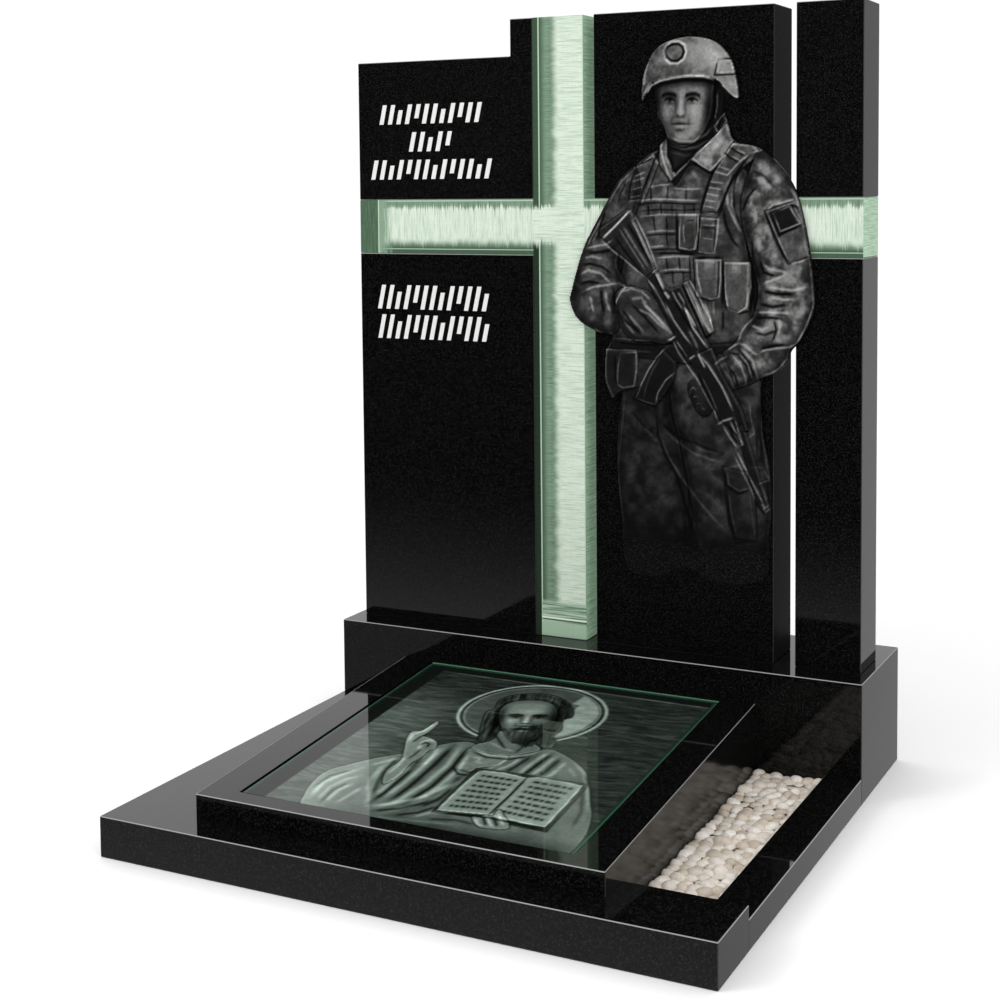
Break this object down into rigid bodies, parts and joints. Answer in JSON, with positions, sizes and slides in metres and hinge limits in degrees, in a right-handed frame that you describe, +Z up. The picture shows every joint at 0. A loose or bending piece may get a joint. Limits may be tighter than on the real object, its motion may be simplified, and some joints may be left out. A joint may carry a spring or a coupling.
{
  "type": "military grave monument",
  "caption": "Polished black granite stele with a green glass cross, a relief soldier on one panel, a plinth, a sloping ledger slab with an engraved glass picture and a pebble bed",
  "frame": {"origin": "centre of the monument's underside, on the ground", "axes": "+Z up, -Y towards the viewer who faces the stele, +X to that viewer's right"},
  "size_m": [1.32, 1.262, 1.75],
  "materials": {
    "black_granite": "mirror-polished near-black granite with a fine speckle",
    "etched_granite": "etched grey tones on black granite",
    "green_glass": "thick frosted pale green glass",
    "engraved_glass": "polished dark green glass with a frosted engraving",
    "cream_pebbles": "smooth rounded cream pebbles",
    "white_inlay": "matt white filling of the inscription's strokes"
  },
  "bodies": {
    "root": {"platform": "black_granite", "right_curb": "black_granite", "pebble_bed": "cream_pebbles", "ledger_slab": "black_granite", "engraved_glass": "engraved_glass", "base_plinth": "black_granite", "lower_left_block": "black_granite", "upper_left_block": "black_granite", "glass_cross": "green_glass", "lower_right_panel": "black_granite", "upper_right_panel": "black_granite", "lower_column": "black_granite", "upper_column": "black_granite", "soldier_figure": "etched_granite"}
  },
  "joints": []
}
